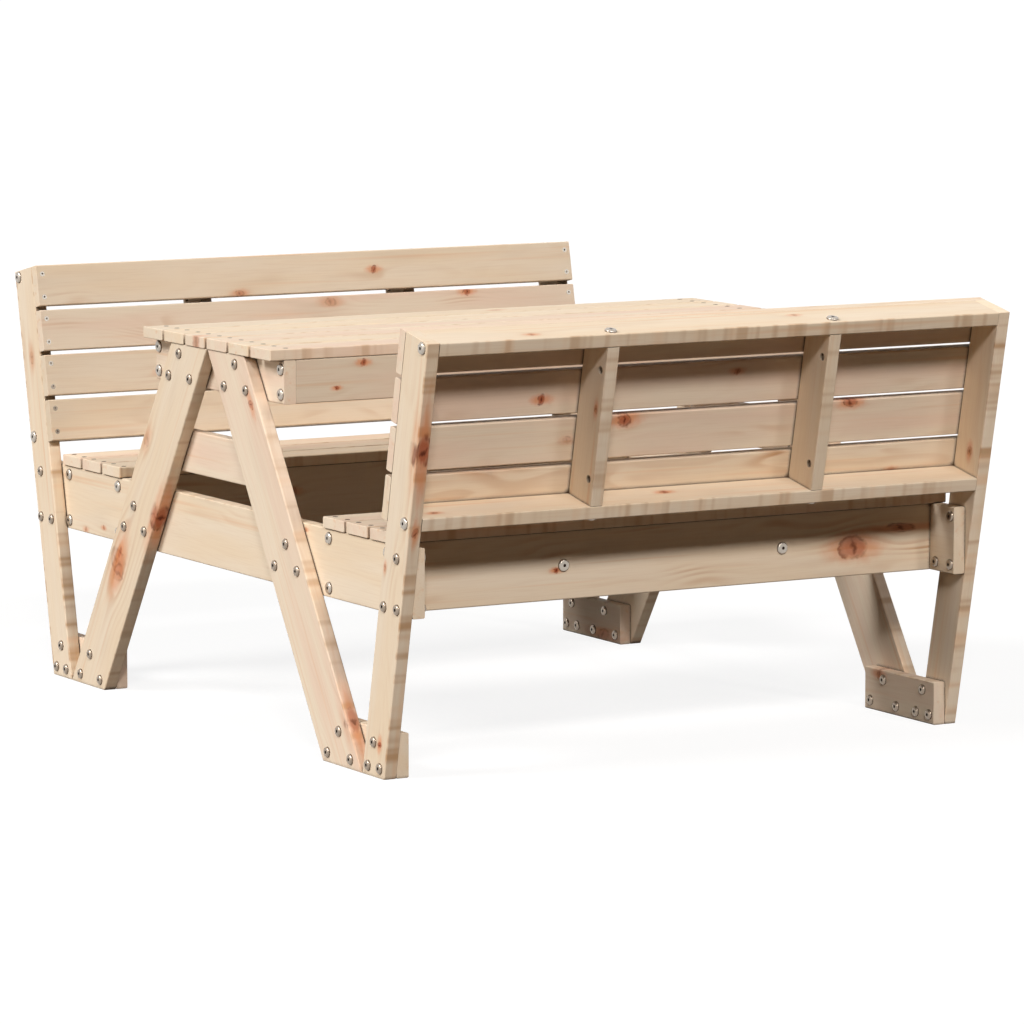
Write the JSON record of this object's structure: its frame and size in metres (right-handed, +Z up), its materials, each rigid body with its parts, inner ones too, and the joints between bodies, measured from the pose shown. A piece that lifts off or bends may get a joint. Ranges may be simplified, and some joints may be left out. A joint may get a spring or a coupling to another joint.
{
  "type": "kids picnic table",
  "caption": "Child-size timber picnic table: a plank table with a backed bench along each side, bolted to A-shaped end frames.",
  "frame": {"origin": "on the ground under the middle of the table, the bottom centre of the bounding box", "axes": "+X along the table to its right end, +Y across it to the rear bench, +Z up"},
  "size_m": [0.8824, 1.2202, 0.5794],
  "materials": {
    "frame_pine": "planed, untreated",
    "board_pine": "planed, untreated",
    "bolt_steel": "zinc plated, satin",
    "screw_steel": "zinc plated, dull"
  },
  "bodies": {
    "root": {"leg_front_left": "frame_pine", "back_post_front_left": "frame_pine", "foot_block_front_left": "frame_pine", "seat_support_front_left": "frame_pine", "back_stile_front_left": "frame_pine", "leg_front_right": "frame_pine", "back_post_front_right": "frame_pine", "foot_block_front_right": "frame_pine", "seat_support_front_right": "frame_pine", "back_stile_front_right": "frame_pine", "table_apron_front": "frame_pine", "seat_apron_front": "frame_pine", "seat_beam_front": "frame_pine", "back_top_rail_front": "frame_pine", "back_bottom_rail_front": "frame_pine", "leg_rear_left": "frame_pine", "back_post_rear_left": "frame_pine", "foot_block_rear_left": "frame_pine", "seat_support_rear_left": "frame_pine", "back_stile_rear_left": "frame_pine", "leg_rear_right": "frame_pine", "back_post_rear_right": "frame_pine", "foot_block_rear_right": "frame_pine", "seat_support_rear_right": "frame_pine", "back_stile_rear_right": "frame_pine", "table_apron_rear": "frame_pine", "seat_apron_rear": "frame_pine", "seat_beam_rear": "frame_pine", "back_top_rail_rear": "frame_pine", "back_bottom_rail_rear": "frame_pine", "seat_rail_left": "frame_pine", "table_rail_left": "frame_pine", "leg_brace_left": "frame_pine", "seat_rail_right": "frame_pine", "table_rail_right": "frame_pine", "leg_brace_right": "frame_pine", "seat_board_front_1": "board_pine", "seat_board_front_2": "board_pine", "seat_board_front_3": "board_pine", "back_slat_front_1": "board_pine", "back_slat_front_2": "board_pine", "back_slat_front_3": "board_pine", "back_slat_front_4": "board_pine", "seat_board_rear_1": "board_pine", "seat_board_rear_2": "board_pine", "seat_board_rear_3": "board_pine", "back_slat_rear_1": "board_pine", "back_slat_rear_2": "board_pine", "back_slat_rear_3": "board_pine", "back_slat_rear_4": "board_pine", "table_board_1": "board_pine", "table_board_2": "board_pine", "table_board_3": "board_pine", "table_board_4": "board_pine", "table_board_5": "board_pine", "table_board_6": "board_pine", "frame_bolts": "bolt_steel", "frame_sleeve_nuts": "bolt_steel", "connector_bolts": "bolt_steel", "board_screws": "screw_steel"}
  },
  "joints": []
}
